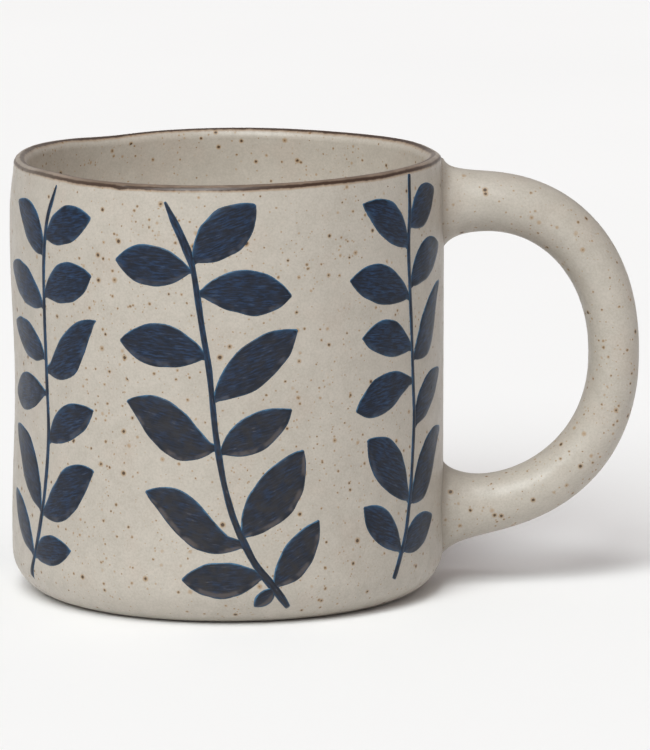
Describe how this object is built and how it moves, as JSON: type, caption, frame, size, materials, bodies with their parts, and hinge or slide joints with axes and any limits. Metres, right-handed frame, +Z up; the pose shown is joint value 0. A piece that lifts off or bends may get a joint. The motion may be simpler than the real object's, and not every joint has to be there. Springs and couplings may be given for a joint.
{
  "type": "stoneware mug",
  "caption": "Straight-sided stoneware mug with a round-section D handle, an iron band over the lip and raised cobalt vines round the wall.",
  "frame": {"origin": "on the cup's axis, at the flat face it stands on", "axes": "+Z up along the cup's axis, +X out through the handle, and the front vine faces -Y"},
  "size_m": [0.1298, 0.0906, 0.0906],
  "materials": {
    "speckled_glaze": "satin warm grey glaze with small iron specks",
    "iron_glaze": "satin iron-brown glaze, thin at its edges",
    "cobalt_glaze": "satin dark cobalt with brush streaks and a lighter blue edge"
  },
  "bodies": {
    "root": {"cup_body": "speckled_glaze", "handle": "speckled_glaze", "lip_band": "iron_glaze", "vine_front": "cobalt_glaze", "vine_left": "cobalt_glaze", "vine_right": "cobalt_glaze", "vine_back": "cobalt_glaze", "vine_back_left": "cobalt_glaze", "vine_back_right": "cobalt_glaze"}
  },
  "joints": []
}
